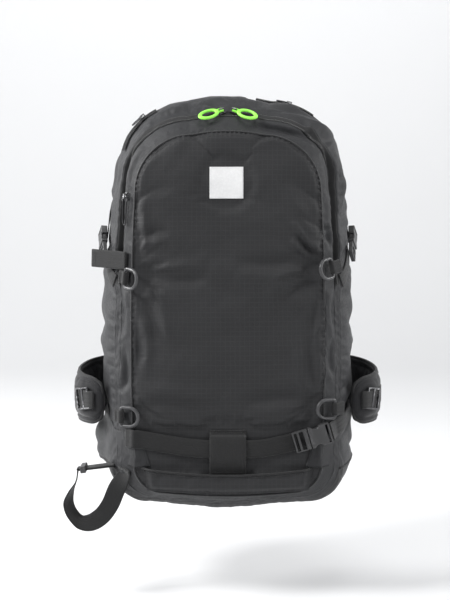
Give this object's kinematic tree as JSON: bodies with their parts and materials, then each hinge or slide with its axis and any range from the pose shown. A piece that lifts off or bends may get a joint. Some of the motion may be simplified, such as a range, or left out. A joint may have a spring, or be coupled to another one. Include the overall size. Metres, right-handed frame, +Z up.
{
  "type": "avalanche airbag backpack",
  "caption": "Ski-touring airbag backpack with arched lid, zip pulls, gear rings, compression straps, diagonal ski loop, hip wings, harness, trigger handle and hidden fan inflator.",
  "frame": {"origin": "shoulder yoke, midway between the shoulder straps where they meet the back panel", "axes": "+X to the wearer's right, +Y towards the wearer (the front panel faces -Y), +Z up"},
  "size_m": [0.4519, 0.2721, 0.6003],
  "materials": {
    "ripstop": "fine black-grey ripstop nylon, matt",
    "gusset": "smooth coated nylon, slightly satin",
    "base": "heavier coated nylon, matt",
    "webbing": "woven nylon webbing with a visible rib",
    "binding": "zip tape and binding, black",
    "label": "blank woven patch, off white",
    "buckle": "moulded acetal, light satin sheen",
    "ring": "moulded acetal D ring, satin",
    "steel_black": "black coated steel, worn bright on its edges",
    "zip_metal": "black coated zinc",
    "pull_green": "moulded lime-green elastomer",
    "cord": "thin black cord",
    "mesh": "black spacer mesh over foam",
    "sheet": "polyethylene frame sheet",
    "airbag": "coated red nylon, folded",
    "housing": "moulded nylon",
    "rotor": "moulded light grey nylon",
    "cells": "sleeved capacitor cans on a tray",
    "trigger_red": "moulded red handle"
  },
  "bodies": {
    "pack": {"front_panel": "ripstop", "gusset_left": "gusset", "gusset_right": "gusset", "gusset_top": "gusset", "base_panel": "base", "base_pocket": "base", "back_wall": "gusset", "back_pad": "mesh", "zip_track": "binding", "compression_wings": "base", "front_strap": "webbing", "keeper_loop": "webbing", "front_buckle_socket": "buckle", "ring_tabs": "webbing", "side_straps": "webbing", "strap_keeper": "webbing", "side_buckle_sockets": "buckle", "back_webbing": "webbing", "airbag_pack": "airbag", "fan_housing": "housing", "capacitor_pack": "cells", "battery_case": "housing", "air_duct": "housing", "frame_sheet": "sheet"},
    "lid": {"lid_panel": "ripstop", "lid_band": "gusset", "label": "label"},
    "zip_slider_left": {"zip_slider_left": "zip_metal"},
    "zip_slider_right": {"zip_slider_right": "zip_metal"},
    "zip_pull_left": {"zip_pull_left": "pull_green"},
    "zip_pull_right": {"zip_pull_right": "pull_green"},
    "side_slider": {"side_slider": "zip_metal"},
    "goggle_slider": {"goggle_slider": "zip_metal"},
    "shoulder_slider": {"shoulder_slider": "zip_metal"},
    "ring_upper_left": {"ring_upper_left": "ring"},
    "ring_upper_right": {"ring_upper_right": "ring"},
    "ring_lower_left": {"ring_lower_left": "ring"},
    "ring_lower_right": {"ring_lower_right": "ring"},
    "front_plug": {"front_buckle_plug": "buckle"},
    "side_plug_left": {"side_buckle_plug_left": "buckle"},
    "side_plug_right": {"side_buckle_plug_right": "buckle"},
    "ski_loop": {"ski_loop": "webbing"},
    "ski_loop_slider": {"ski_loop_slider": "buckle"},
    "wing_left": {"hip_wing_left": "mesh", "hip_slider_left": "steel_black", "hip_webbing_left": "webbing", "hip_buckle_left": "buckle"},
    "wing_right": {"hip_wing_right": "mesh", "hip_slider_right": "steel_black", "hip_webbing_right": "webbing", "hip_buckle_right": "buckle"},
    "harness": {"shoulder_strap_left": "mesh", "shoulder_strap_right": "mesh", "ladder_locks": "buckle", "trigger_sleeve": "gusset"},
    "trigger": {"trigger_handle": "trigger_red"},
    "sternum": {"sternum_straps": "webbing", "sternum_buckle_socket": "buckle"},
    "sternum_plug": {"sternum_buckle_plug": "buckle"},
    "impeller": {"impeller": "rotor"}
  },
  "joints": [
    {"name": "lid_open", "type": "hinge", "parent": "pack", "child": "lid", "pos_m": [0, -0.16783, -0.148], "axis": [1, 0, 0], "range_deg": [0, 80]},
    {"name": "zip_run_left", "type": "hinge", "parent": "lid", "child": "zip_slider_left", "pos_m": [0, -0.1383, -0.38743], "axis": [0, 0.9985, 0.0547], "range_deg": [-6, 0]},
    {"name": "zip_pull_left", "type": "hinge", "parent": "zip_slider_left", "child": "zip_pull_left", "pos_m": [-0.00856, -0.14109, 0.02095], "axis": [-0.49, 0.7358, 0.4674], "range_deg": [0, 85]},
    {"name": "zip_run_right", "type": "hinge", "parent": "lid", "child": "zip_slider_right", "pos_m": [0, -0.1383, -0.38743], "axis": [0, 0.9985, 0.0547], "range_deg": [0, 6]},
    {"name": "zip_pull_right", "type": "hinge", "parent": "zip_slider_right", "child": "zip_pull_right", "pos_m": [0.00856, -0.14109, 0.02095], "axis": [-0.49, -0.7358, -0.4674], "range_deg": [0, 85]},
    {"name": "side_zip", "type": "slide", "parent": "lid", "child": "side_slider", "axis": [0.042, 0.0796, 0.9959], "range_m": [0, 0.018]},
    {"name": "goggle_zip", "type": "slide", "parent": "pack", "child": "goggle_slider", "axis": [-0.9594, 0.0083, 0.2818], "range_m": [0, 0.02]},
    {"name": "shoulder_zip", "type": "slide", "parent": "pack", "child": "shoulder_slider", "axis": [0.7856, 0.06, 0.6158], "range_m": [0, 0.008]},
    {"name": "ring_upper_left_swing", "type": "hinge", "parent": "pack", "child": "ring_upper_left", "pos_m": [-0.141, -0.1715, -0.208], "axis": [-0.0995, 0, -0.995], "range_deg": [0, 105]},
    {"name": "ring_upper_right_swing", "type": "hinge", "parent": "pack", "child": "ring_upper_right", "pos_m": [0.143, -0.1705, -0.194], "axis": [-0.1772, 0, 0.9842], "range_deg": [0, 105]},
    {"name": "ring_lower_left_swing", "type": "hinge", "parent": "pack", "child": "ring_lower_left", "pos_m": [-0.1478, -0.1786, -0.4], "axis": [0, 0, -1], "range_deg": [0, 130]},
    {"name": "ring_lower_right_swing", "type": "hinge", "parent": "pack", "child": "ring_lower_right", "pos_m": [0.1478, -0.1786, -0.389], "axis": [0, 0, 1], "range_deg": [0, 130]},
    {"name": "front_buckle_release", "type": "slide", "parent": "pack", "child": "front_plug", "axis": [-0.9548, -0.1, -0.2799], "range_m": [0, 0.028]},
    {"name": "side_buckle_release_left", "type": "slide", "parent": "pack", "child": "side_plug_left", "axis": [0.0652, -0.5972, -0.7994], "range_m": [0, 0.024]},
    {"name": "side_buckle_release_right", "type": "slide", "parent": "pack", "child": "side_plug_right", "axis": [-0.0652, -0.5972, -0.7994], "range_m": [0, 0.024]},
    {"name": "ski_loop_swing", "type": "hinge", "parent": "pack", "child": "ski_loop", "pos_m": [-0.1585, -0.1525, -0.473], "axis": [-0.4392, 0.8976, -0.0382], "range_deg": [-3, 25]},
    {"name": "ski_loop_slider_run", "type": "slide", "parent": "ski_loop", "child": "ski_loop_slider", "axis": [0.9911, -0.0392, 0.1276], "range_m": [0, 0.026]},
    {"name": "hip_wing_left_swing", "type": "hinge", "parent": "pack", "child": "wing_left", "pos_m": [-0.15, 0.0085, -0.385], "axis": [0, 0, -1], "range_deg": [0, 105]},
    {"name": "hip_wing_right_swing", "type": "hinge", "parent": "pack", "child": "wing_right", "pos_m": [0.15, 0.0085, -0.385], "axis": [0, 0, 1], "range_deg": [0, 105]},
    {"name": "harness_swing", "type": "hinge", "parent": "pack", "child": "harness", "pos_m": [0, 0.02, -0.007], "axis": [1, 0, 0], "range_deg": [0, 15]},
    {"name": "sternum_height", "type": "slide", "parent": "harness", "child": "sternum", "axis": [0, 0, 1], "range_m": [-0.025, 0.025]},
    {"name": "sternum_buckle_release", "type": "slide", "parent": "sternum", "child": "sternum_plug", "axis": [1, 0, 0], "range_m": [0, 0.022]},
    {"name": "trigger_pull", "type": "slide", "parent": "harness", "child": "trigger", "axis": [-0.1637, -0.1253, -0.9785], "range_m": [0, 0.035]},
    {"name": "impeller_spin", "type": "hinge", "parent": "pack", "child": "impeller", "pos_m": [0, -0.062, -0.12], "axis": [0, 1, 0], "continuous": true}
  ]
}
